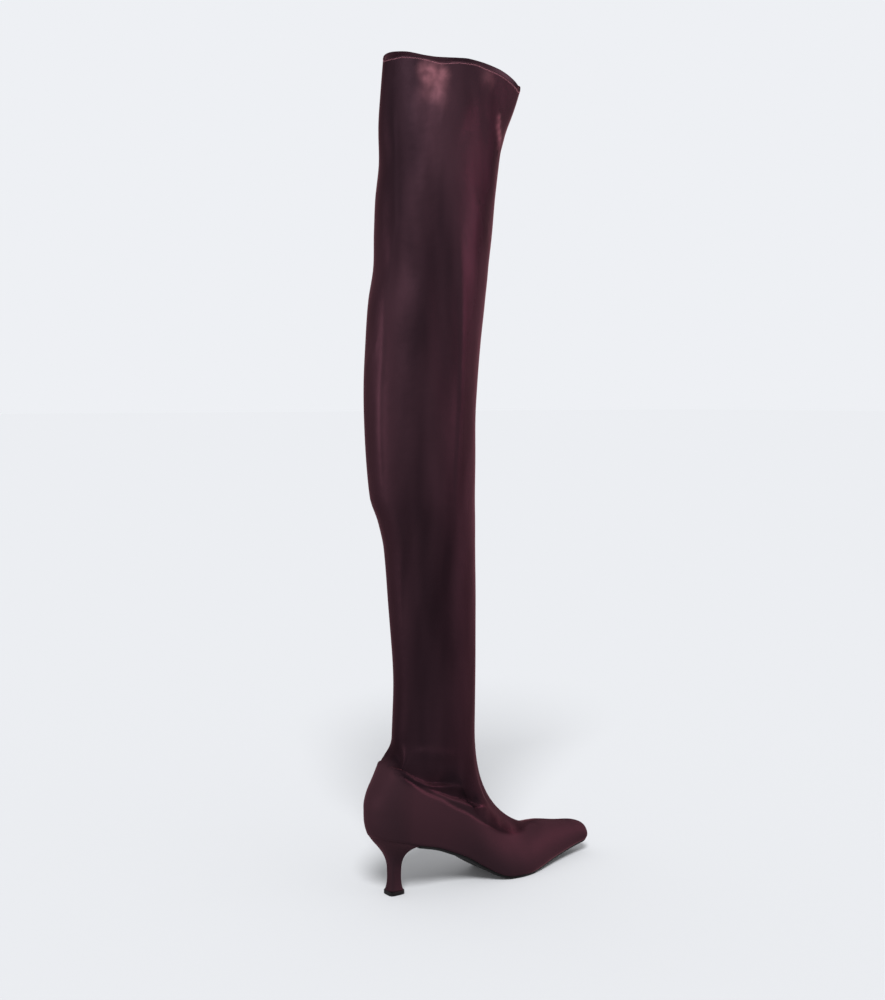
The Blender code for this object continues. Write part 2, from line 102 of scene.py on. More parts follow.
# Ridge of the vamp over the lower edge, share of its height at the throat
ridgeTable = {
    "columns": ("station", "height"),
    "rows": [
        (0.688, 1.000), (0.747, 0.925), (0.848, 0.720), (0.922, 0.588),
        (0.966, 0.446), (0.987, 0.330), (1.000, 0.200),
    ],
}

# Heel back line, shares of the counter height and of the heel height
backTable = {
    "columns": ("height", "forward"),
    "rows": [
        (0.450, 0.060), (0.500, 0.020), (0.560, 0.000), (0.650, 0.000), (0.720, 0.035),
        (0.848, 0.200), (0.955, 0.360), (1.000, 0.480),
    ],
}

# Rings of the leg, shares of boot height, ankle length and ankle width
legTable = {
    "columns": ("height", "centre", "length", "width"),
    "rows": [
        (0.193, -0.007, 1.018, 1.000),
        (0.258, 0.008, 0.995, 1.033),
        (0.355, -0.023, 1.044, 1.100),
        (0.423, -0.055, 1.080, 1.200),
        (0.456, -0.094, 1.149, 1.267),
        (0.486, -0.146, 1.246, 1.333),
        (0.531, -0.164, 1.285, 1.367),
        (0.586, -0.176, 1.309, 1.400),
        (0.623, -0.167, 1.334, 1.400),
        (0.674, -0.130, 1.359, 1.367),
        (0.722, -0.083, 1.389, 1.300),
        (0.758, -0.033, 1.380, 1.267),
        (0.803, -0.002, 1.432, 1.233),
        (0.841, 0.024, 1.456, 1.200),
        (0.877, 0.068, 1.465, 1.150),
        (0.922, 0.110, 1.568, 1.050),
        (0.961, 0.186, 1.683, 0.930),
        (1.000, 0.262, 1.782, 0.800),
    ],
}

# The cut edge of the collar dips and rises a little, degrees from the back and millimetres
collarTable = {
    "columns": ("angle", "outer", "inner"),
    "rows": [
        (0, 0.5, 0.0), (20, 1.8, 0.0), (34, 3.6, 0.0), (45, 3.6, -0.2), (58, 2.2, -0.5),
        (67, 1.0, -1.5), (76, 2.6, -2.6), (84, 4.0, -2.8), (96, 4.4, -1.4), (105, 2.3, 0.4), (116, 0.8, 2.5),
        (130, -2.5, 3.0), (144, -6.5, 2.8), (154, -9.3, 2.0), (161, -7.5, 1.2), (168, -3.0, 0.4),
        (180, -1.0, -1.0),
    ],
}


def readTable(table, name, at):  # monotone cubic through one column
    xs = np.array([row[0] for row in table["rows"]], float)
    ys = np.array([row[table["columns"].index(name)] for row in table["rows"]], float)
    at = np.clip(at, xs[0], xs[-1])
    steps = np.diff(xs)
    slopes = np.diff(ys) / steps
    before, after = slopes[:-1], slopes[1:]
    sameWay = before * after > 0
    total = np.where(sameWay, before + after, 1.0)
    inside = np.where(sameWay, 2 * before * after / total, 0.0)
    tangents = np.concatenate([slopes[:1], inside, slopes[-1:]])
    i = np.clip(np.searchsorted(xs, at, side="right") - 1, 0, len(steps) - 1)
    p = (at - xs[i]) / steps[i]
    low = (2 * p**3 - 3 * p**2 + 1) * ys[i] + (p**3 - 2 * p**2 + p) * steps[i] * tangents[i]
    high = (3 * p**2 - 2 * p**3) * ys[i + 1] + (p**3 - p**2) * steps[i] * tangents[i + 1]
    return low + high


def placed(forward, outward, up):  # shoe measures to the frame's axes
    forward, outward, up = np.broadcast_arrays(forward, outward, up)
    return np.stack([-outward, lastSizes["length"] / 2 - forward, up], axis=-1)


def smoothShare(value):
    share = np.clip(value, 0.0, 1.0)
    return share * share * (3 - 2 * share)


def roundEnd(distance, length):  # elliptical end of an outline
    return np.sqrt(1 - (1 - np.clip(distance / length, 0.0, 1.0)) ** 2)


def bezier(points, at):
    weights = ((1 - at) ** 3, 3 * at * (1 - at) ** 2, 3 * at**2 * (1 - at), at**3)
    return sum(w * p for w, p in zip(weights, points))


def unit(vectors):
    return vectors / np.maximum(np.linalg.norm(vectors, axis=-1, keepdims=True), leastLength)


def soleHeight(forward):
    base = lastSizes["outsole"] + lastSizes["gap"]
    station = np.asarray(forward) / lastSizes["length"]
    lift = readTable(soleTable, "lift", station)
    spring = readTable(soleTable, "spring", station)
    return base + lift * (lastSizes["heelHeight"] - base) + spring * lastSizes["toeSpring"]


def outlineEnds(station):  # both rounded ends of the lower edge
    toe = roundEnd(lastSizes["length"] - station, lastSizes["toeRound"])
    return roundEnd(station, lastSizes["heelRound"]) * toe


def soleHalfWidth(station, outer):  # outer is true where a column runs up the outer side
    share = station / lastSizes["length"]
    widths = np.where(outer, readTable(soleTable, "outer", share), readTable(soleTable, "inner", share))
    return lastSizes["ballWidth"] * widths * outlineEnds(station)


def forwardOf(station, up):  # the heel back line bends the heel end
    share = up / lastSizes["counterHeight"]
    back = lastSizes["heelHeight"] * readTable(backTable, "forward", share)
    return station + back * np.maximum(0.0, 1 - station / lastSizes["backReach"]) ** 2


def ridgeHeight(station):
    throat = lastSizes["throatStation"] * lastSizes["length"]
    behind = lastSizes["throatHeight"] + lastSizes["ridgeSlope"] * (throat - station)
    share = readTable(ridgeTable, "height", station / lastSizes["length"])
    ahead = soleHeight(station) + share * (lastSizes["throatHeight"] - soleHeight(throat))
    return np.where(station <= throat, behind, ahead)


def pumpEdge(station):  # half width and height of the pump line
    share = station / lastSizes["length"]
    throat = lastSizes["throatStation"] * lastSizes["length"]
    ends = roundEnd(station, lastSizes["counterRound"]) * roundEnd(
        throat - station, sectionSettings["throatRound"] * throat)
    rise = lastSizes["counterHeight"] - lastSizes["throatHeight"]
    height = lastSizes["throatHeight"] + readTable(pumpTable, "height", share) * rise
    return readTable(pumpTable, "spread", share) * lastSizes["instepWidth"] / 2 * ends, height


def sideSection(foot, base, bulge, shoulder, topHalf, top, at):
    rise = top - base
    across = bezier((foot, foot + bulge, shoulder[0], topHalf), at)
    up = bezier((base, base + sectionSettings["sideHandle"] * rise, top - shoulder[1] * rise, top), at)
    return across, up


def vampSection(foot, base, bulge, ridge, topHalf, at):  # cut off where it reaches the top half width
    reach, drop = sectionSettings["vampShoulder"]
    shoulder = (reach * foot, drop)
    low, high = np.zeros_like(foot), np.ones_like(foot)
    for _ in range(sectionSettings["halvings"]):
        middle = (low + high) / 2
        wide = sideSection(foot, base, bulge, shoulder, 0.0, ridge, middle)[0] > topHalf
        low, high = np.where(wide, middle, low), np.where(wide, high, middle)
    end = np.where(topHalf > 0, high, 1.0)
    return sideSection(foot, base, bulge, shoulder, 0.0, ridge, at * end)


def footPoints(station, outer, at):  # one column for each station, one row for each share
    station, outer, at = np.asarray(station, float)[None], np.asarray(outer)[None], np.asarray(at)[:, None]
    foot = soleHalfWidth(station, outer)
    base = soleHeight(forwardOf(station, 0.0))
    bulge = lastSizes["sideBulge"] * outlineEnds(station)
    ridge = ridgeHeight(station)
    share = station / lastSizes["length"]
    throat = lastSizes["throatStation"]
    topHalf, top = pumpEdge(station)
    flatFrom, vampFrom = sectionSettings["flatFrom"], sectionSettings["vampFrom"]
    flat = smoothShare((share - flatFrom) / (throat - flatFrom))
    least, more = sectionSettings["shoulderReach"]
    drop = sectionSettings["shoulderDrop"] * (1 - sectionSettings["flatDrop"] * flat)
    shoulder = (topHalf * (1 - flat) + (least + more * flat) * foot, drop)
    across, up = sideSection(foot, base, bulge, shoulder, topHalf, top, at)
    vampRun = throat - sectionSettings["vampLead"] - vampFrom
    vamp = np.where(share >= throat, 1.0, smoothShare((share - vampFrom) / vampRun))
    cut = np.where(share >= throat, 0.0, topHalf)
    vampAcross, vampUp = vampSection(foot, base, bulge, ridge, cut, at)
    across = across + vamp * (vampAcross - across)
    up = up + vamp * (vampUp - up)
    forward = np.where(share >= throat, station, forwardOf(station, up))
    return placed(forward, np.where(outer, across, -across), up)


def legPoints(height, angle, outer):  # rings of the leg, angle 0 at the back
    share = np.asarray(height)[:, None] / legSizes["height"]
    angle, outer = angle[None], outer[None]
    side = np.where(outer, 1.0, -1.0)
    middle = legSizes["ankleCentre"] + readTable(legTable, "centre", share) * legSizes["ankleLength"]
    halfLength = readTable(legTable, "length", share) * legSizes["ankleLength"] / 2
    halfWidth = readTable(legTable, "width", share) * legSizes["ankleWidth"] / 2
    collarFrom, collarRun = legSizes["collarBlend"]
    cutFrom, cutRun = legSizes["cutBlend"]
    collar = smoothShare((share - collarFrom) / collarRun)
    inner = np.where(outer, 0.0, np.sin(angle))
    front = ((1 - np.cos(angle)) / 2) ** legSizes["frontFocus"]
    up = share * legSizes["height"]
    up = up + collar * (legSizes["collarInnerRise"] * inner - legSizes["collarFrontDrop"] * front)
    outerCut, innerCut = (readTable(collarTable, name, np.degrees(angle)) for name in ("outer", "inner"))
    cut = np.where(outer, outerCut, innerCut)
    up = up + smoothShare((share - cutFrom) / cutRun) * cut * mm
    return placed(middle - halfLength * np.cos(angle), side * halfWidth * np.sin(angle), up)


def hexColour(code):  # sRGB hex to linear
    channels = [int(code[i:i + 2], 16) / 255 for i in (1, 3, 5)]
    return [c / 12.92 if c <= 0.04045 else ((c + 0.055) / 1.055) ** 2.4 for c in channels] + [1.0]


def addNode(tree, kind, inputs=None, **settings):
    node = tree.nodes.new("ShaderNode" + kind)
    for name, value in settings.items():
        setattr(node, name, value)
    for name, value in (inputs or {}).items():
        if isinstance(value, bpy.types.NodeSocket):
            tree.links.new(value, node.inputs[name])
        else:
            node.inputs[name].default_value = value
    return node


def newMaterial(name):
    material = bpy.data.materials.new(name)
    material.use_nodes = True
    material.node_tree.nodes.clear()
    return material, material.node_tree


def finishMaterial(tree, shader):
    addNode(tree, "OutputMaterial", {"Surface": shader.outputs["BSDF"]})


satinSettings = {
    "colour": "#23181d", "shade": "#160f13",  # the dye looks deeper where the cloth is stretched less
    # The paler colour is a painted highlight, mixed in where the skin marks it
    "lastedColour": "#2e2025", "paintedHighlightColour": "#5d4046",
    "roughness": 0.42, "lastedRoughness": 0.60, "slubs": 0.05,
    "floatShine": 0.30, "specular": 0.0, "glossTint": "#8a5c66",
    "sheen": 0.21, "sheenRoughness": 0.36, "sheenTint": "#c88c96",
    "threadPitch": 0.55 * mm,  # real floats are about 0.15 mm, drawn coarser so that they show
    "floatLength": 3.0 * mm, "threadDepth": 0.03 * mm,
    "softPatch": 38 * mm, "softPatchRise": 170 * mm,  # patches of dye, drawn out up the leg
    "slackPatch": 11 * mm, "slackDepth": 0.6 * mm,  # faint unevenness of half stretched cloth
    "bumpStrength": 0.6,
    "patchRange": (0.35, 0.65), "blotchRange": (0.30, 0.66), "blotchLeast": 0.35,  # of the noise
}


def stretchSatin(name, settings):
    # Stretch satin, dyed dark plum and woven with long floats. The floats mirror the light in
    # the colour of the dye, which gives the eye broad wine red gleams down a nearly black leg
    # and a soft bloom at the edges. Glued over the stiffened foot it is duller and more even.
    # Paler patches painted into the colour stand in for highlights under the collar, at the throat, at the
    # toe and along a front pleat.
    material, tree = newMaterial(name)
    uv = addNode(tree, "UVMap", uv_map="cloth")
    place = addNode(tree, "TexCoord")
    lasted = addNode(tree, "Attribute", attribute_name="lasted")
    threads = addNode(tree, "Mapping", {
        "Vector": uv.outputs["UV"],
        "Scale": (1 / settings["threadPitch"], 1 / settings["floatLength"], 1.0),
    })
    weave = addNode(tree, "TexNoise", {
        "Vector": threads.outputs["Vector"], "Scale": 1.0, "Detail": 2.0, "Roughness": 0.6,
    })
    upright = addNode(tree, "Mapping", {
        "Vector": place.outputs["Object"],
        "Scale": (1 / settings["softPatch"], 1 / settings["softPatch"], 1 / settings["softPatchRise"]),
    })
    patches = addNode(tree, "TexNoise", {
        "Vector": upright.outputs["Vector"], "Scale": 1.0, "Detail": 2.0,
    })
    slack = addNode(tree, "TexNoise", {
        "Vector": place.outputs["Object"], "Scale": 1 / settings["slackPatch"], "Detail": 1.5,
    })
    least, most = settings["patchRange"]
    patchShare = addNode(tree, "MapRange", {
        "Value": patches.outputs["Fac"], "From Min": least, "From Max": most,
    })
    dye = addNode(tree, "Mix", {
        0: patchShare.outputs["Result"],
        6: hexColour(settings["shade"]), 7: hexColour(settings["colour"]),
    }, data_type="RGBA")
    # Painted highlights: where this attribute is set, the satin's colour is mixed towards a paler colour,
    # broken up by the blotch noise
    paintedHighlight = addNode(tree, "Attribute", attribute_name="paintedHighlight")
    least, most = settings["blotchRange"]
    blotch = addNode(tree, "MapRange", {
        "Value": slack.outputs["Fac"], "From Min": least, "From Max": most,
        "To Min": settings["blotchLeast"], "To Max": 1.0,
    })
    paintedHighlightShare = addNode(tree, "Math", {
        0: paintedHighlight.outputs["Fac"], 1: blotch.outputs["Result"],
    }, operation="MULTIPLY")
    # mixes in the paler colour of the painted highlights
    withPaintedHighlight = addNode(tree, "Mix", {
        0: paintedHighlightShare.outputs["Value"], 6: dye.outputs[2], 7: hexColour(settings["paintedHighlightColour"]),
    }, data_type="RGBA")
    dyeAll = addNode(tree, "Mix", {
        0: lasted.outputs["Fac"], 6: withPaintedHighlight.outputs[2], 7: hexColour(settings["lastedColour"]),
    }, data_type="RGBA")
    gloss = addNode(tree, "MapRange", {
        "Value": lasted.outputs["Fac"],
        "To Min": settings["roughness"], "To Max": settings["lastedRoughness"],
    })
    slubs = addNode(tree, "MapRange", {
        "Value": weave.outputs["Fac"], "To Min": -settings["slubs"], "To Max": settings["slubs"],
    })
    roughness = addNode(tree, "Math", {
        0: gloss.outputs["Result"], 1: slubs.outputs["Result"],
    }, operation="ADD")
    loose = addNode(tree, "Math", {0: 1.0, 1: lasted.outputs["Fac"]}, operation="SUBTRACT")
    slackHeight = addNode(tree, "Math", {
        0: slack.outputs["Fac"], 1: loose.outputs["Value"],
    }, operation="MULTIPLY")
    uneven = addNode(tree, "Bump", {
        "Height": slackHeight.outputs["Value"], "Distance": settings["slackDepth"],
        "Strength": settings["bumpStrength"],
    })
    bump = addNode(tree, "Bump", {
        "Height": weave.outputs["Fac"], "Distance": settings["threadDepth"],
        "Strength": settings["bumpStrength"], "Normal": uneven.outputs["Normal"],
    })
    shader = addNode(tree, "BsdfPrincipled", {
        "Base Color": dyeAll.outputs[2], "Roughness": roughness.outputs["Value"],
        "Normal": bump.outputs["Normal"], "Sheen Weight": settings["sheen"],
        "Sheen Roughness": settings["sheenRoughness"], "Sheen Tint": hexColour(settings["sheenTint"]),
        "Metallic": settings["floatShine"],
        "Specular IOR Level": settings["specular"], "Specular Tint": hexColour(settings["glossTint"]),
    })
    finishMaterial(tree, shader)
    return material


# Plain finishes: the grain's size and depth are the real ones, or coarser where too fine to show
finishSettings = {
    "lining": {  # brushed tricot: a raised nap, dull and greyish, darker between the hairs
        "colour": "#5e4a4b", "darker": "#4a3939", "roughness": 0.9, "specular": 0.1,
        "grain": 1.2 * mm, "depth": 0.1 * mm,
    },
    "soleLeather": {  # dyed and pressed sole leather: black and flat, with only a faint gleam
        "colour": "#0c0b0c", "darker": "#080708", "roughness": 0.60, "specular": 0.14,
        "grain": 0.8 * mm, "depth": 0.02 * mm,
    },
    "sockLeather": {  # unpolished sock leather: matte brown, with fine pores
        "colour": "#3a2f30", "darker": "#2f2627", "roughness": 0.6, "specular": 0.3,
        "grain": 0.7 * mm, "depth": 0.03 * mm,
    },
    "rubber": {  # moulded rubber: black, with the dull even skin of its mould
        "colour": "#0c0b0c", "darker": "#080708", "roughness": 0.60, "specular": 0.15,
        "grain": 0.6 * mm, "depth": 0.02 * mm,
    },
    "thread": {  # spun polyester: paler than the satin, dull, with a twist that breaks the light
        "colour": "#7c535c", "darker": "#5e3e46", "roughness": 0.6, "specular": 0.2,
        "grain": 0.3 * mm, "depth": 0.05 * mm,
    },
}


def plainSurface(name, finish):  # grained, with a little change of colour over a few grains
    material, tree = newMaterial(name)
    place = addNode(tree, "TexCoord")
    pores = addNode(tree, "TexNoise", {
        "Vector": place.outputs["Object"], "Scale": 1 / finish["grain"], "Detail": 4.0,
    })
    stain = addNode(tree, "Mix", {
        0: pores.outputs["Fac"], 6: hexColour(finish["darker"]), 7: hexColour(finish["colour"]),
    }, data_type="RGBA")
    bump = addNode(tree, "Bump", {
        "Height": pores.outputs["Fac"], "Distance": finish["depth"], "Strength": 0.5,
    })
    shader = addNode(tree, "BsdfPrincipled", {
        "Base Color": stain.outputs[2], "Roughness": finish["roughness"],
        "Normal": bump.outputs["Normal"], "Specular IOR Level": finish["specular"],
    })
    finishMaterial(tree, shader)
    return material


def meshObject(name, points, faces, materials, faceMaterials=None, uv=None):
    data = bpy.data.meshes.new(name)
    data.from_pydata([tuple(p) for p in points], [], faces)
    for material in materials:
        data.materials.append(material)
    if faceMaterials is not None:
        data.polygons.foreach_set("material_index", faceMaterials)
    if uv is not None:
        layer = data.uv_layers.new(name="cloth")
        loops = np.empty(len(data.loops), int)
        data.loops.foreach_get("vertex_index", loops)
        layer.data.foreach_set("uv", np.asarray(uv, np.float32)[loops].ravel())
    data.polygons.foreach_set("use_smooth", [True] * len(data.polygons))
    data.update()
    thing = bpy.data.objects.new(name, data)
    bpy.context.scene.collection.objects.link(thing)
    return thing


def gridFaces(grid):  # quads between closed rows of vertex numbers
    grid = np.concatenate([grid, grid[:, :1]], axis=1)
    quads = np.stack([grid[:-1, :-1], grid[:-1, 1:], grid[1:, 1:], grid[1:, :-1]], axis=-1)
    return quads.reshape(-1, 4)


skinSettings = {
    "heelColumns": 100, "toeColumns": 40, "footRows": 30, "fanRows": 64,
    "ankleStep": 2.4 * mm, "legStep": 6.4 * mm, "collarStep": 1.4 * mm,
    "ankleTop": 0.235, "collarBand": 0.028,
    "footWall": 2.0 * mm, "legWall": 1.5 * mm, "hemDepth": 22 * mm, "hemExtra": 0.45 * mm,
    "marginDrop": 0.25 * mm, "lastedFade": 0.22, "lastedRim": 0.05,
    "footRowsBias": 1.3, "fanRowsBias": 1.4,  # above 1 draws the rows together at the pump line
    "liftFade": (0.6, 0.4),  # start and length, shares of the way to the throat
    "hemFade": 1.2 * mm, "hemSlot": 0.8 * mm,  # how far the extra wall and the satin run on below it
    "rimSteps": 6, "margin": [(1.3 * mm, 1.0), (0.5 * mm, 0.75)],  # how far in, share of the drop
}

# Creases on the outer side, in millimetres. Height is how far each stands out, below 0 for a
# trough. Width is its soft half width on either side: above and below a line that runs to the
# toe, the toe's side and the heel's side of one that runs down. Ends gives the share of the
# length over which it fades in and out, inner how much of it shows on the inner side. The path
# is forward of the heel back, outward and up.
creaseTable = {
    "columns": ("name", "height", "width", "ends", "inner", "path"),
    "rows": [
        ("ankleRidge", 1.7, (3.5, 5.0), (0.3, 0.5), 0.4,
         [(35, 15, 139), (42, 21, 139), (53, 26, 138), (70, 29, 135), (92, 28, 131)]),
        ("upperTrough", -4.8, (8.0, 1.2), (0.12, 0.3), 0.5,
         [(19, 0, 126), (23, 12, 127), (27, 19, 124), (34, 24, 120), (39, 26, 116), (46, 27, 112),
          (53, 27, 109), (66, 27, 106), (81, 28, 104), (94, 28, 103)]),
        ("upperRoll", 1.6, (1.7, 3.2), (0.1, 0.4), 0.5,
         [(20, 2, 125), (22, 14, 124), (27, 22, 121), (34, 25, 116), (43, 27, 112), (52, 27, 107),
          (66, 28, 104), (84, 28, 101), (104, 26, 98)]),
        ("edgeTrough", -2.8, (3.0, 1.0), (0.08, 0.55), 0.5,
         [(20, 6, 122), (23, 18, 120), (29, 24, 116), (37, 27, 110), (45, 28, 104), (55, 28, 98),
          (65, 29, 93), (74, 29, 87), (85, 29, 80), (96, 29, 74), (107, 29, 66), (118, 28, 59),
          (133, 26, 50), (146, 24, 44)]),
        ("lowerTrough", -4.4, (6.0, 1.2), (0.35, 0.2), 0.5,
         [(40, 27, 110), (50, 28, 105), (58, 28, 102), (69, 28, 97), (78, 28, 92), (89, 28, 88),
          (97, 28, 84), (107, 27, 80), (116, 25, 77)]),
        ("lowerRoll", 1.6, (1.8, 4.8), (0.25, 0.5), 0.5,
         [(56, 28, 99), (65, 28, 95), (77, 29, 90), (88, 28, 85), (101, 28, 79), (117, 26, 75),
          (132, 21, 70)]),
        ("ankleFacet", 0.6, (4.0, 4.0), (0.4, 0.4), 0.3,
         [(110, 24, 94), (104, 27, 88), (104, 28, 83)]),
        ("backSeam", 0.5, (1.6, 5.0), (0.1, 0.15), 0.3,
         [(24, 12, 745), (23, 13, 687), (21, 17, 635), (19, 15, 615), (12, 14, 559), (9, 15, 514),
          (7, 13, 459), (9, 12, 408), (18, 10, 355)]),
        ("backFold", 1.5, (2.2, 8.0), (0.25, 0.6), 0.4,
         [(14, 14, 385), (22, 18, 358), (28, 17, 335), (31, 12, 283), (33, 10, 240)]),
        ("frontFold", 1.2, (7.0, 2.0), (0.2, 0.35), 0.4,
         [(78, 37, 630), (79, 38, 597), (80, 38, 562), (79, 40, 505), (77, 40, 451), (74, 40, 395),
          (74, 37, 339)]),
        ("frontPleat", 1.5, (2.0, 2.0), (0.35, 0.2), 0.3,
         [(132, 23, 748), (136, 22, 729), (138, 20, 716), (137, 19, 702)]),
        ("frontHollow", -2.2, (8.0, 15.0), (0.25, 0.25), 0.3,
         [(106, 28, 745), (110, 28, 725), (113, 29, 702), (111, 30, 676), (105, 31, 648)]),
        ("kneeStreak", 0.8, (1.6, 3.5), (0.3, 0.2), 0.3,
         [(100, 33, 660), (104, 33, 648), (111, 31, 636), (124, 24, 620)]),
        ("kneeHollow", -1.6, (10.0, 8.0), (0.25, 0.3), 0.4,
         [(55, 30, 705), (53, 33, 651), (53, 35, 606), (56, 38, 561), (56, 41, 505), (60, 38, 430)]),
        ("calfFold", 0.9, (1.6, 1.6), (0.3, 0.3), 0.0,
         [(7, 12, 531), (6, 6, 517), (5, -6, 499), (8, -12, 488)]),
        ("vampNick", -0.6, (1.5, 2.4), (0.35, 0.5), 0.0, [(190, 3, 44), (194, 7, 42), (200, 12, 37)]),
        ("toeNick", -0.6, (1.5, 4.0), (0.3, 0.4), 0.0,
         [(234, -1, 38), (238, 3, 36), (243, 7, 33), (249, 9, 28)]),
        ("frontKink", -1.3, (6.0, 5.0), (0.4, 0.01), 1.0,
         [(140, 14, 703), (146, 7, 702), (148, 0, 702)]),
        ("collarSwell", 2.2, (9.0, 16.0), (0.35, 0.35), 0.2,
         [(52, 26, 752), (64, 27, 749), (80, 28, 746), (96, 28, 742), (108, 26, 736)]),
    ],
}


# How a crease is laid on the skin: millimetres between samples, widths that it reaches, how
# much later it starts on the inner side, and its width at the ends
layingSettings = {"sample": 1.5, "reach": 3.2, "innerStart": 3.0, "endWidth": 0.4}


def smoothPath(points, step):  # evenly sampled curve through listed points
    points = np.array(points, float)
    padded = np.concatenate([[2 * points[0] - points[1]], points, [2 * points[-1] - points[-2]]])
    samples = []
    for a, b, c, d in zip(padded, padded[1:], padded[2:], padded[3:]):
        count = max(2, int(np.linalg.norm(c - b) / step))
        for p in np.linspace(0, 1, count, endpoint=False):
            samples.append(0.5 * (2 * b + (c - a) * p + (2 * a - 5 * b + 4 * c - d) * p**2
                                  + (3 * b - a - 3 * c + d) * p**3))
    samples.append(points[-1])
    return np.array(samples)


def creaseHeights(points, normals, table, mirror):  # how far each point stands out, millimetres
    total = np.zeros(len(points))
    for row in table["rows"]:
        crease = dict(zip(table["columns"], row))
        path = smoothPath(crease["path"], layingSettings["sample"])
        if mirror:
            path = path * [1, -1, 1]
        line = placed(path[:, 0] * mm, path[:, 1] * mm, path[:, 2] * mm)
        reach = layingSettings["reach"] * max(crease["width"]) * mm
        near = np.all((points > line.min(0) - reach) & (points < line.max(0) + reach), axis=1)
        chosen = np.flatnonzero(near)
        if not len(chosen):
            continue
        away = points[chosen, None] - line[None]
        distance = np.linalg.norm(away, axis=2)
        nearest = distance.argmin(1)
        along = nearest / (len(line) - 1)
        start = crease["ends"][0] * (layingSettings["innerStart"] if mirror else 1.0)
        taper = smoothShare(along / start) * smoothShare((1 - along) / crease["ends"][1])
        running = unit(np.gradient(line, axis=0))[nearest]
        leftward = np.cross(normals[chosen], running) * (-1 if mirror else 1)
        left = (away[np.arange(len(chosen)), nearest] * leftward).sum(1) > 0
        thin = layingSettings["endWidth"]
        width = np.where(left, *crease["width"]) * (thin + (1 - thin) * taper) * mm
        share = crease["inner"] if mirror else 1.0
        total[chosen] += share * crease["height"] * taper * np.exp(-0.5 * (distance.min(1) / width) ** 2)
    return total


# Painted highlights: where the satin's colour is made paler to stand in for highlights, laid out like the
# creases; height is the share of the paler colour
paintedHighlightTable = {
    "columns": ("name", "height", "width", "ends", "path"),
    "rows": [
        ("throat", 0.13, (7.0, 9.0), (0.2, 0.4),
         [(104, 25, 82), (116, 24, 76), (128, 22, 68), (142, 19, 59), (158, 15, 53), (176, 10, 48)]),
        ("throatFoot", 0.1, (6.0, 9.0), (0.3, 0.3),
         [(148, 22, 51), (162, 17, 47), (176, 13, 44), (190, 8, 42)]),
        ("toeFacet", 0.25, (3.0, 4.0), (0.4, 0.4), [(222, 4, 37), (232, 6, 35), (240, 8, 32)]),
        ("underCollar", 0.78, (6.0, 9.0), (0.3, 0.4),
         [(42, 18, 772), (51, 20, 771), (60, 22, 770), (70, 22, 771), (82, 23, 773)]),
        ("underCollarTail", 0.25, (8.0, 8.0), (0.2, 0.7),
         [(53, 21, 764), (58, 23, 754), (65, 25, 744), (71, 27, 730)]),
        ("collarFront", 0.22, (6.0, 7.0), (0.4, 0.3),
         [(108, 25, 777), (118, 24, 774), (126, 23, 771), (134, 22, 768)]),
        ("frontPleat", 0.7, (2.0, 2.2), (0.3, 0.2),
         [(134, 23, 744), (136, 22, 729), (138, 20, 716), (137, 20, 704)]),
    ],
}


# Where the cloth is drawn smooth between the leg and the vamp: centre, reach and rounds
easeSettings = {
    "centre": (158, 0, 64), "reach": (52, 44, 54), "rounds": 220, "strength": 1.4, "step": 0.5,
}


def easeThroat(points, faces):  # loose cloth fills the hollows and rounds the front of the ankle
    centre = placed(*[v * mm for v in easeSettings["centre"]])
    reach = np.array([easeSettings["reach"][k] for k in (1, 0, 2)]) * mm
    weight = smoothShare(easeSettings["strength"] * (1 - np.linalg.norm((points - centre) / reach, axis=1)))
    chosen = (weight[faces] > 0).any(axis=1)
    edges = np.concatenate([faces[chosen][:, [k, (k + 1) % 4]] for k in range(4)])
    ends = np.concatenate([edges, edges[:, ::-1]])
    count = np.maximum(np.bincount(ends[:, 0], minlength=len(points)), 1)[:, None]
    for _ in range(easeSettings["rounds"]):
        total = np.stack([
            np.bincount(ends[:, 0], points[ends[:, 1], axis], len(points)) for axis in range(3)], axis=1)
        drawn = easeSettings["step"] * weight[:, None] * (total / count - points)
        points = points + drawn * (weight > 0)[:, None]
    return points


def skinColumns():
    heelSteps, toeSteps = skinSettings["heelColumns"], skinSettings["toeColumns"]
    throat = lastSizes["throatStation"] * lastSizes["length"]
    heelSide = throat * (0.5 - 0.5 * np.cos(np.pi * np.arange(heelSteps) / heelSteps))
    toeShare = np.sin(0.5 * np.pi * np.arange(toeSteps + 1) / toeSteps)
    oneSide = np.concatenate([heelSide, throat + (lastSizes["length"] - throat) * toeShare])
    stations = np.concatenate([oneSide, oneSide[-2:0:-1]])
    outer = np.arange(len(stations)) < len(oneSide)
    return stations, outer


def fanPoints(start, normal, share, finish):  # from the pump line up to the lowest leg ring
    reach = np.linalg.norm(finish - start, axis=1, keepdims=True)
    target = finish - reach * legSizes["legHandle"] * [0, 0, 1]
    direct = unit(target - start)
    flush = unit(direct - normal * (direct * normal).sum(1, keepdims=True))
    fadeFrom, fadeRun = skinSettings["liftFade"]
    lift = legSizes["throatLift"] * smoothShare((share - fadeFrom) / fadeRun)[:, None]
    leaving = unit(flush * (1 - lift) + direct * lift)
    rows = skinSettings["fanRows"]
    at = (np.arange(rows) / rows)[:, None, None] ** skinSettings["fanRowsBias"]
    curve = (start, start + leaving * legSizes["footHandle"] * reach, target, finish)
    return bezier([p[None] for p in curve], at)


def girthAlong(rows):  # length from the first column, along each row
    return np.linalg.norm(np.diff(np.concatenate([rows[:, :1], rows], axis=1), axis=1), axis=2).cumsum(1)


def gridNormals(rows):  # outward normals of closed rows
    along = np.roll(rows, -1, axis=1) - np.roll(rows, 1, axis=1)
    padded = np.concatenate([rows[:1], rows, rows[-1:]])
    return unit(np.cross(along, padded[2:] - padded[:-2]))


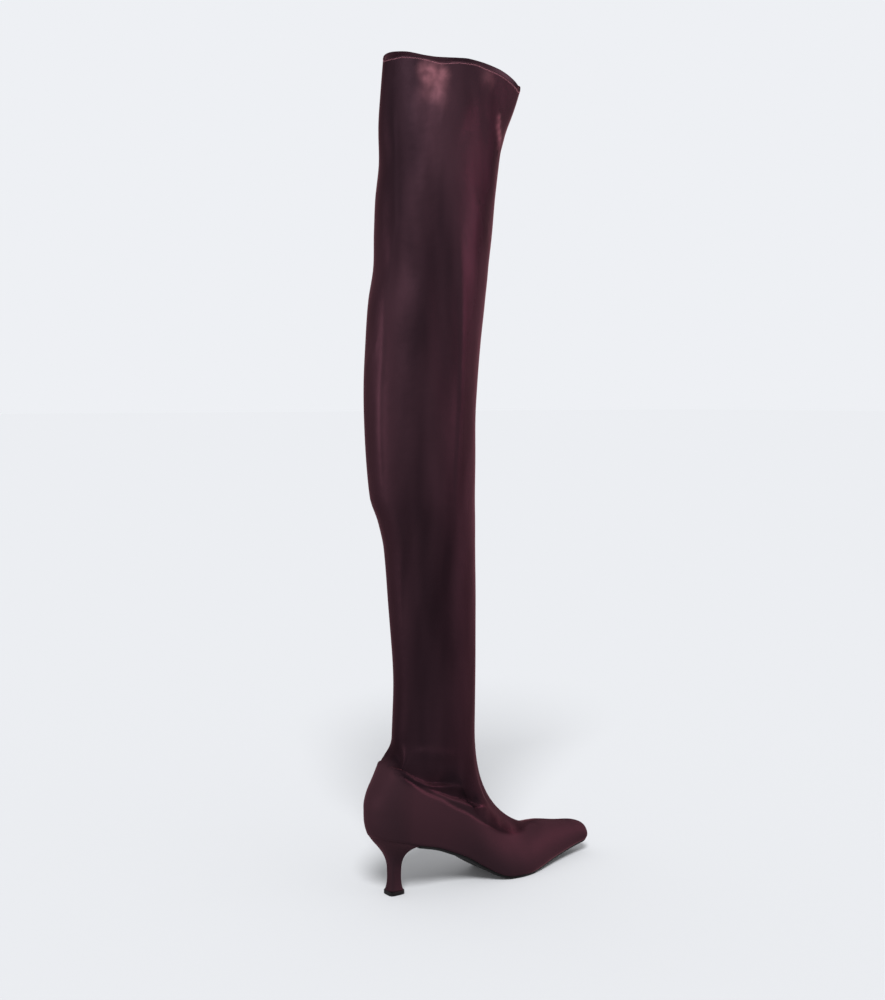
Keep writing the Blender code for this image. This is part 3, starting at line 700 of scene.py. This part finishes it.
def skinGrids():
    stations, outer = skinColumns()
    rows = skinSettings["footRows"]
    shares = 1 - (1 - np.arange(rows + 1) / rows) ** skinSettings["footRowsBias"]
    foot = footPoints(stations, outer, shares)
    heelSteps = skinSettings["heelColumns"]
    columns = np.array(list(range(heelSteps + 1)) + [-k for k in range(heelSteps - 1, 0, -1)])
    angle = np.pi * np.abs(columns) / heelSteps
    side = columns >= 0
    low = legTable["rows"][0][0] * legSizes["height"]
    top = legSizes["height"]
    stages = (
        (low, skinSettings["ankleTop"], skinSettings["ankleStep"]),
        (skinSettings["ankleTop"], top - skinSettings["collarBand"], skinSettings["legStep"]),
        (top - skinSettings["collarBand"], top, skinSettings["collarStep"]),
    )
    heights = [low]
    for start, end, step in stages:
        count = round((end - start) / step)
        heights += [start + (end - start) * k / count for k in range(1, count + 1)]
    rings = legPoints(np.array(heights), angle, side)
    share = stations[np.abs(columns)] / (lastSizes["throatStation"] * lastSizes["length"])
    fan = fanPoints(foot[-1][columns], gridNormals(foot)[-1][columns], share, rings[0])
    return foot, np.concatenate([fan, rings]), columns


# Slow swells of a stretched leg: height in millimetres, size across and up the leg
swellSettings = {
    "swell": 0.7, "swellSize": (0.035, 0.110), "drag": 0.25, "dragSize": (0.016, 0.045),
    "dragShift": 7, "calmTo": 0.10, "fullAfter": 0.10,
}


def skinSwells(points):
    heights = np.empty(len(points))
    across, rise = swellSettings["swellSize"]
    dragAcross, dragRise = swellSettings["dragSize"]
    for i, (x, y, z) in enumerate(points):
        swell = noise.noise(Vector((x / across, y / across, z / rise)))
        drag = noise.noise(Vector((
            x / dragAcross + swellSettings["dragShift"], y / dragAcross, z / dragRise)))
        calm = smoothShare((z - swellSettings["calmTo"]) / swellSettings["fullAfter"])
        heights[i] = calm * (swellSettings["swell"] * swell + swellSettings["drag"] * drag)
    return heights


def buildSkin(satin, lining):
    foot, leg, columns = skinGrids()
    footRows, footCount = foot.shape[:2]
    heelSteps, toeSteps = skinSettings["heelColumns"], skinSettings["toeColumns"]
    points = np.concatenate([foot.reshape(-1, 3), leg[1:].reshape(-1, 3)])
    footNumbers = np.arange(footRows * footCount).reshape(footRows, footCount)
    for k in range(heelSteps, heelSteps + toeSteps):
        footNumbers[-1, footCount - k] = footNumbers[-1, k]
    legCount = len(columns)
    upNumbers = footRows * footCount + np.arange((len(leg) - 1) * legCount).reshape(-1, legCount)
    legNumbers = np.concatenate([footNumbers[-1][columns][None], upNumbers])
    faces = np.concatenate([gridFaces(footNumbers), gridFaces(legNumbers)])
    points = easeThroat(points, faces)
    base = bpy.data.meshes.new("base")
    base.from_pydata([tuple(p) for p in points], [], faces.tolist())
    normals = np.empty(len(points) * 3)
    base.vertices.foreach_get("normal", normals)
    normals = normals.reshape(-1, 3)
    bpy.data.meshes.remove(base)

    push = skinSwells(points)
    for mirror in (False, True):
        push += creaseHeights(points, normals, creaseTable, mirror)
    outside = points + normals * push[:, None] * mm
    rim = legNumbers[-1]
    topZ = points[rim, 2]
    depth = np.full(len(points), 1.0)
    depth[legNumbers] = topZ[None] - points[legNumbers, 2]
    onFoot = np.arange(len(points)) < footNumbers[-1, 0]
    wall = np.where(onFoot, skinSettings["footWall"], skinSettings["legWall"])
    hem = 1 - smoothShare((depth - skinSettings["hemDepth"]) / skinSettings["hemFade"])
    wall = wall + hem * skinSettings["hemExtra"]
    inside = outside - normals * wall[:, None]
    count = len(points)
    flatNormals = unit(normals * [1, 1, 0])

    rimRows, rimNumbers = [], [rim]
    steps = skinSettings["rimSteps"]
    start = 2 * count
    for k in range(1, steps):
        turn = math.pi * k / steps
        half = wall[rim, None] / 2
        row = outside[rim] - flatNormals[rim] * half * (1 - math.cos(turn))
        rimRows.append(row + half * math.sin(turn) * np.array([0, 0, 1.0]))
        rimNumbers.append(start + np.arange(len(rim)))
        start += len(rim)
    rimNumbers.append(rim + count)
    inside[rim] = outside[rim] - flatNormals[rim] * wall[rim, None]

    edge = footNumbers[0]
    edgeRows, edgeNumbers = [], [edge + count]
    for inset, drop in skinSettings["margin"]:
        row = outside[edge] - flatNormals[edge] * inset
        edgeRows.append(row - np.array([0, 0, drop * skinSettings["marginDrop"]]))
        edgeNumbers.append(start + np.arange(len(edge)))
        start += len(edge)
    edgeNumbers.append(edge)

    allPoints = np.concatenate([outside, inside] + rimRows + edgeRows)
    rimFaces = gridFaces(np.array(rimNumbers))
    edgeFaces = gridFaces(np.array(edgeNumbers))
    insideFaces = faces[:, ::-1] + count
    isHem = depth[faces].max(axis=1) < skinSettings["hemDepth"] + skinSettings["hemSlot"]
    allFaces = np.concatenate([faces, insideFaces, rimFaces, edgeFaces])
    slots = np.concatenate([
        np.zeros(len(faces), int), np.where(isHem, 0, 1), np.zeros(len(rimFaces) + len(edgeFaces), int)])
    uv = np.zeros((len(allPoints), 2))
    uv[footNumbers, 0] = girthAlong(foot)
    uv[legNumbers[1:], 0] = girthAlong(leg)[1:]
    uv[:count, 1] = points[:, 2]
    uv[count:2 * count] = uv[:count]
    uv[2 * count:, 1] = allPoints[2 * count:, 2]
    thing = meshObject("satinSkin", allPoints, allFaces.tolist(), [satin, lining], slots, uv)
    lasted = np.zeros(len(allPoints))
    fade = smoothShare((1 - np.arange(footRows) / (footRows - 1)) / skinSettings["lastedFade"])
    lasted[footNumbers] = fade[:, None]
    lasted[count:2 * count] = lasted[:count]
    lasted[2 * count:] = points[edge[0], 2] + skinSettings["lastedRim"] > allPoints[2 * count:, 2]
    # painted highlights on the outer side, laid out from the table of painted highlights
    paintedHighlight = np.zeros(len(allPoints))
    paintedHighlight[:count] = np.clip(creaseHeights(points, normals, paintedHighlightTable, False), 0, 1)
    for attribute, values in (("lasted", lasted), ("paintedHighlight", paintedHighlight)):
        layer = thing.data.attributes.new(attribute, "FLOAT", "POINT")
        layer.data.foreach_set("value", values.astype(np.float32))
    return thing, outside, legNumbers


stitchSettings = {
    "top": 0.5 * mm, "bottom": 1.7 * mm, "pitch": 1.5 * mm, "thread": 0.11 * mm, "sides": 6,
    "rings": 6,  # rings of the skin that it is sewn through
    "standOff": 0.5,  # share of the thread
    "crown": 0.12 * mm, "endDip": -0.6, "endWidth": 0.55,
}


def buildStitch(outside, legNumbers, material):
    # Zigzag row that holds the folded hem, all round the collar
    rings = outside[legNumbers[-stitchSettings["rings"]:]][::-1]
    loop = np.concatenate([rings[0], rings[0][:1]])
    lengths = np.concatenate([[0], np.linalg.norm(np.diff(loop, axis=0), axis=1).cumsum()])
    count = 2 * int(lengths[-1] / stitchSettings["pitch"])
    path, outward = [], []
    centre = loop.mean(0)
    for k in range(count + 1):
        at = lengths[-1] * k / count
        column = np.interp(at, lengths, np.arange(len(lengths)))
        depth = stitchSettings["top"] if k % 2 else stitchSettings["bottom"]
        row = depth / skinSettings["collarStep"]
        i, p = int(column) % len(rings[0]), column - int(column)
        j, q = int(row), row - int(row)
        n = (i + 1) % len(rings[0])
        low = rings[j][i] * (1 - p) + rings[j][n] * p
        high = rings[j + 1][i] * (1 - p) + rings[j + 1][n] * p
        point = low * (1 - q) + high * q
        out = unit((point - centre) * [1, 1, 0])
        path.append(point + out * stitchSettings["standOff"] * stitchSettings["thread"])
        outward.append(out)
    points, faces = [], []
    sides = stitchSettings["sides"]
    for k in range(count):
        a, b = path[k], path[k + 1]
        along = unit(b - a)
        out = outward[k]
        across = unit(np.cross(along, out))
        first = len(points)
        slim, dip = stitchSettings["endWidth"], stitchSettings["endDip"]
        for end, shrink, rise in ((a, slim, dip), ((a + b) / 2, 1.0, 1), (b, slim, dip)):
            lift = out * stitchSettings["crown"] * rise
            for s in range(sides):
                turn = 2 * math.pi * s / sides
                ray = math.cos(turn) * across + math.sin(turn) * out
                points.append(end + lift + ray * stitchSettings["thread"] * shrink)
        for ring in range(2):
            for s in range(sides):
                t = (s + 1) % sides
                low, high = first + ring * sides, first + (ring + 1) * sides
                faces.append((low + s, low + t, high + t, high + s))
        faces.append(tuple(first + s for s in range(sides))[::-1])
        faces.append(tuple(first + 2 * sides + s for s in range(sides)))
    return meshObject("collarStitch", points, faces, [material])


outlineSettings = {"probe": 0.2 * mm, "rounds": 12}  # for the direction of the edge and its station


def edgeOutline(stations, inset):  # lower edge of the upper moved inwards, in shoe measures
    sides = []
    probe = outlineSettings["probe"]
    for side in (1, -1):
        outer = np.full(len(stations), side > 0)
        ahead = footPoints(np.minimum(lastSizes["length"], stations + probe), outer, [0.0])[0]
        behind = footPoints(np.maximum(0.0, stations - probe), outer, [0.0])[0]
        along = unit((ahead - behind) * [1, 1, 0])
        inward = np.stack([-along[:, 1], along[:, 0]], axis=1) * side
        point = footPoints(stations, outer, [0.0])[0][:, :2] + inward * inset
        sides.append(np.stack([lastSizes["length"] / 2 - point[:, 1], -point[:, 0]], axis=1))
    return sides


def stationOf(forward):
    station = forward
    for _ in range(outlineSettings["rounds"]):
        station = forward - (forwardOf(station, 0.0) - station)
    return float(max(0.0, station))


outsoleSettings = {
    "breast": 0.0430, "inset": 0.6 * mm, "bevel": 2.2 * mm, "steps": 130,
    # share of the bevel and share of the thickness, from the top edge round to the bottom
    "edge": [(0.0, 0.0), (0.0, 0.22), (0.06, 0.42), (0.20, 0.62), (0.44, 0.82), (0.72, 0.95), (1.0, 1.0)],
    "acrossSteps": 8, "bias": 1.15,
}


def buildOutsole(material):
    first = stationOf(outsoleSettings["breast"] + lastSizes["gap"])
    share = np.arange(outsoleSettings["steps"] + 1) / outsoleSettings["steps"]
    bent = np.sin(0.5 * math.pi * share) ** outsoleSettings["bias"]
    stations = first + (lastSizes["length"] - first) * bent
    rows = {1: [], -1: []}
    for bevel, drop in outsoleSettings["edge"]:
        inset = outsoleSettings["inset"] + bevel * outsoleSettings["bevel"]
        for side, edge in zip((1, -1), edgeOutline(stations, inset)):
            up = soleHeight(edge[:, 0]) - lastSizes["gap"] - drop * lastSizes["outsole"]
            rows[side].append(placed(edge[:, 0], edge[:, 1], up))
    loop = list(rows[1])
    low = (rows[1][-1], rows[-1][-1])
    steps = outsoleSettings["acrossSteps"]
    loop += [low[0] + (low[1] - low[0]) * k / steps for k in range(1, steps)]
    loop += rows[-1][::-1]
    high = (rows[-1][0], rows[1][0])
    loop += [high[0] + (high[1] - high[0]) * k / steps for k in range(1, steps)]
    return loftedPiece("leatherOutsole", np.stack(loop, axis=1), material, capLast=False)


def loftedPiece(name, grid, material, capLast=True, uv=None):  # closed rows with flat ends
    numbers = np.arange(grid.shape[0] * grid.shape[1]).reshape(grid.shape[:2])
    faces = gridFaces(numbers).tolist() + [numbers[0].tolist()]
    if capLast:
        faces.append(numbers[-1].tolist())
    thing = meshObject(name, grid.reshape(-1, 3), faces, [material], uv=uv)
    closeUp(thing)
    return thing


def closeUp(thing):  # weld what coincides and turn the faces outwards
    mesh = bmesh.new()
    mesh.from_mesh(thing.data)
    bmesh.ops.remove_doubles(mesh, verts=mesh.verts, dist=weldDistance)
    bmesh.ops.recalc_face_normals(mesh, faces=mesh.faces)
    if mesh.calc_volume(signed=True) < 0:
        bmesh.ops.reverse_faces(mesh, faces=mesh.faces)
    mesh.to_mesh(thing.data)
    mesh.free()


heelSettings = {
    "breast": 0.0430, "stemCentre": 0.0296, "stemLength": 0.0114, "stemWidth": 0.0110,
    "tipLength": 0.0168, "tipWidth": 0.0156, "tipHeight": 0.0040, "inset": 0.6 * mm,
    "backSteps": 96, "frontSteps": 32, "levels": 64, "cornerPower": 0.45, "seatSteps": 120,
    "backCorner": 0.25, "backTurn": 1.5, "frontTurn": 0.5,  # half turns round the section
    "tipFoot": [(0.0, 0.5), (0.15, 0.15), (0.5, 0.0)],  # millimetres up and in from the outline
    "tipTop": [(0.4, 0.0), (0.1, 0.1), (0.0, 0.4)],  # millimetres below the top and in
}

# Heel from floor to seat: shares of the way from the stem's section to the seat's
heelTable = {
    "columns": ("height", "back", "front", "width"),
    "rows": [
        (0.072, 0.125, 0.160, 0.110),
        (0.120, 0.070, 0.080, 0.060),
        (0.190, 0.020, 0.025, 0.018),
        (0.280, 0.000, 0.000, 0.000),
        (0.430, 0.012, 0.004, 0.010),
        (0.530, 0.065, 0.015, 0.050),
        (0.640, 0.200, 0.040, 0.150),
        (0.720, 0.350, 0.085, 0.270),
        (0.800, 0.540, 0.160, 0.430),
        (0.900, 0.800, 0.380, 0.690),
        (0.960, 0.930, 0.660, 0.880),
        (1.000, 1.000, 1.000, 1.000),
    ],
}


def heelAngles():
    back, front = heelSettings["backSteps"], heelSettings["frontSteps"]
    start, backTurn = heelSettings["backCorner"], heelSettings["backTurn"]
    turns = math.pi * (start + backTurn * np.arange(back + 1) / back)
    frontShare = heelSettings["frontTurn"] * np.arange(1, front) / front
    return np.concatenate([turns, math.pi * (start + backTurn + frontShare)])


def squarish(length, width, angle):  # section with rounded corners
    c, s = np.cos(angle), np.sin(angle)
    power = heelSettings["cornerPower"]
    along = np.sign(c) * np.abs(c) ** power * length / 2
    return np.stack([along, np.sign(s) * np.abs(s) ** power * width / 2], axis=-1)


def heelSeat():  # outline under the foot, round the back and along the breast
    last = stationOf(heelSettings["breast"])
    steps = heelSettings["seatSteps"]
    stations = last * (1 - np.cos(0.5 * math.pi * np.arange(steps + 1) / steps))
    outer, inner = edgeOutline(stations, heelSettings["inset"])
    path = np.concatenate([outer[::-1], inner[1:]])
    lengths = np.concatenate([[0], np.linalg.norm(np.diff(path, axis=0), axis=1).cumsum()])
    at = lengths[-1] * np.arange(heelSettings["backSteps"] + 1) / heelSettings["backSteps"]
    seat = np.stack([np.interp(at, lengths, path[:, k]) for k in (0, 1)], axis=1)
    across = (np.arange(1, heelSettings["frontSteps"]) / heelSettings["frontSteps"])[:, None]
    return np.concatenate([seat, path[-1] + (path[0] - path[-1]) * across])


def buildHeel(material):
    seat, angle = heelSeat(), heelAngles()
    stem = squarish(heelSettings["stemLength"], heelSettings["stemWidth"], angle)
    stem[:, 0] += heelSettings["stemCentre"]
    rows = []
    low = heelTable["rows"][0][0]
    for level in np.linspace(low, 1, heelSettings["levels"]):
        back, front, width = (readTable(heelTable, name, level) for name in ("back", "front", "width"))
        along = np.where(seat[:, 0] > heelSettings["stemCentre"], front, back)
        forward = stem[:, 0] + along * (seat[:, 0] - stem[:, 0])
        outward = stem[:, 1] + width * (seat[:, 1] - stem[:, 1])
        top = soleHeight(seat[:, 0]) - lastSizes["gap"]
        up = level * (lastSizes["heelHeight"] + level * (top - lastSizes["heelHeight"]))
        rows.append(placed(forward, outward, up))
    rows[0][:, 2] = heelSettings["tipHeight"] + lastSizes["gap"]
    grid = np.array(rows)
    uv = np.stack([girthAlong(grid), grid[..., 2]], axis=-1).reshape(-1, 2)
    thing = loftedPiece("coveredHeel", grid, material, uv=uv)
    lasted = thing.data.attributes.new("lasted", "FLOAT", "POINT")
    lasted.data.foreach_set("value", [1.0] * len(thing.data.vertices))
    return thing


def buildTip(material):
    angle = heelAngles()
    rows = []
    top = heelSettings["tipHeight"] / mm
    profile = heelSettings["tipFoot"] + [(top - below, inset) for below, inset in heelSettings["tipTop"]]
    for up, inset in profile:
        section = squarish(heelSettings["tipLength"] - 2 * inset * mm,
                           heelSettings["tipWidth"] - 2 * inset * mm, angle)
        rows.append(placed(heelSettings["stemCentre"] + section[:, 0], section[:, 1], up * mm))
    return loftedPiece("rubberTip", np.array(rows), material)


studioSettings = {
    "paper": "#eef0f4", "glow": 0.03, "diffuse": 0.42, "reach": 40.0,
    # watts a square metre and degrees, tilted so that the shadow lies behind the boot
    "overhead": 4.85, "overheadSpread": 20, "overheadTilt": (-23.5, -36),
}

# Soft lights on the boot alone: centre, aim, size, spread in degrees, watts and colour
lightSettings = {
    "collarSoftbox": {"at": (-1.0, 0.25, 1.32), "aim": (0, 0, 0.72), "size": 0.4, "spread": 50,
                      "power": 2.2, "colour": "#ffecee"},
    "calfSoftbox": {"at": (-1.12, 0.86, 1.10), "aim": (0, 0, 0.74), "size": 0.8, "spread": 46,
                    "power": 2.1, "colour": "#ffe6e9"},
    "heelSoftbox": {"at": (0.20, 1.45, 0.50), "aim": (0, 0, 0.38), "size": 0.5, "spread": 38,
                    "power": 1.6, "colour": "#ffd4da"},
    "toeSoftbox": {"at": (-0.40, -1.50, 0.62), "aim": (0, 0, 0.10), "size": 0.5, "spread": 30,
                   "power": 0.6, "colour": "#ffc6d2"},
    "shinSoftbox": {"at": (-0.72, -1.20, 0.80), "aim": (0, 0, 0.36), "size": 0.5, "spread": 34,
                    "power": 2.05, "colour": "#ffc2ce"},
}

# Photograph's view, from behind the outer side: pitch is degrees down, lens and sensor in mm
cameraSettings = {
    "at": (-1.1295, 0.8399, 0.472), "heading": (0.819, -0.574), "pitch": 4.07,
    "lens": 51.96, "sensor": 36,
}


def buildStudio():
    # Seamless matte paper, which gives the eye an even pale ground and a soft grey shadow
    material, tree = newMaterial("matte_seamless_paper")
    paper = hexColour(studioSettings["paper"])
    shader = addNode(tree, "BsdfPrincipled", {
        "Base Color": [studioSettings["diffuse"]] * 3 + [1.0], "Roughness": 1.0, "Specular IOR Level": 0.0,
        "Emission Color": paper, "Emission Strength": studioSettings["glow"],
    })
    finishMaterial(tree, shader)
    reach = studioSettings["reach"]
    corners = [(-reach, -reach, 0), (reach, -reach, 0), (reach, reach, 0), (-reach, reach, 0)]
    floor = meshObject("paperFloor", corners, [(0, 1, 2, 3)], [material])
    litFloor = bpy.data.collections.new("litFloor")
    litFloor.objects.link(floor)
    data = bpy.data.lights.new("overheadSilk", "SUN")
    data.energy = studioSettings["overhead"]
    data.angle = math.radians(studioSettings["overheadSpread"])
    data.color = [c / paper[2] for c in paper[:3]]
    silk = bpy.data.objects.new("overheadSilk", data)
    silk.rotation_euler = [math.radians(v) for v in studioSettings["overheadTilt"]] + [0.0]
    silk.light_linking.receiver_collection = litFloor
    bpy.context.scene.collection.objects.link(silk)
    world = bpy.data.worlds.new("studio")
    world.use_nodes = True
    sky = world.node_tree.nodes["Background"]
    sky.inputs["Color"].default_value = paper
    sky.inputs["Strength"].default_value = 1.0
    bpy.context.scene.world = world
    bpy.context.scene.view_settings.view_transform = "Standard"
    for name, light in lightSettings.items():
        data = bpy.data.lights.new(name, "AREA")
        data.shape = "DISK"
        data.size = light["size"]
        data.energy = light["power"]
        data.spread = math.radians(light["spread"])
        data.color = hexColour(light["colour"])[:3]
        lamp = bpy.data.objects.new(name, data)
        lamp.location = light["at"]
        aim = Vector(light["aim"]) - Vector(light["at"])
        lamp.rotation_euler = aim.to_track_quat("-Z", "Y").to_euler()
        lamp.light_linking.receiver_collection = litPieces
        bpy.context.scene.collection.objects.link(lamp)


def buildCamera():
    data = bpy.data.cameras.new("photoView")
    data.lens = cameraSettings["lens"]
    data.sensor_width = cameraSettings["sensor"]
    camera = bpy.data.objects.new("photoView", data)
    camera.location = cameraSettings["at"]
    pitch = math.radians(cameraSettings["pitch"])
    level = Vector((*cameraSettings["heading"], 0.0)).normalized() * math.cos(pitch)
    looking = level + Vector((0, 0, -math.sin(pitch)))
    camera.rotation_euler = looking.to_track_quat("-Z", "Y").to_euler()
    bpy.context.scene.collection.objects.link(camera)
    bpy.context.scene.camera = camera


litPieces = bpy.data.collections.new("litPieces")  # what the softboxes shine on
buildCamera()
buildStudio()
print("camera, paper and lights are set")

satin = stretchSatin("stretch_satin", satinSettings)
liningCloth = plainSurface("brushed_tricot_lining", finishSettings["lining"])
blackLeather = plainSurface("smooth_black_leather", finishSettings["soleLeather"])
sockLeather = plainSurface("matte_sock_leather", finishSettings["sockLeather"])
rubber = plainSurface("moulded_black_rubber", finishSettings["rubber"])
threadFinish = plainSurface("spun_polyester_thread", finishSettings["thread"])

skin, outside, legNumbers = buildSkin(satin, liningCloth)
closeUp(skin)
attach(skin, "root")
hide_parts("upper", "shaft")
print("satin skin and lining are built", len(skin.data.polygons), "faces")

stitch = buildStitch(outside, legNumbers, threadFinish)
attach(stitch, "root")
print("collar stitch is sewn")

heel = buildHeel(satin)
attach(heel, "root")
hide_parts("heel")
tip = buildTip(rubber)
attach(tip, "root")
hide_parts("heel_tip")
outsole = buildOutsole(blackLeather)
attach(outsole, "root")
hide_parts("outsole")
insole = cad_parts["insole"]
insole.data.materials.clear()
insole.data.materials.append(sockLeather)
for piece in (skin, stitch, heel, tip, outsole, insole):
    litPieces.objects.link(piece)
print("heel, tip and soles are built")
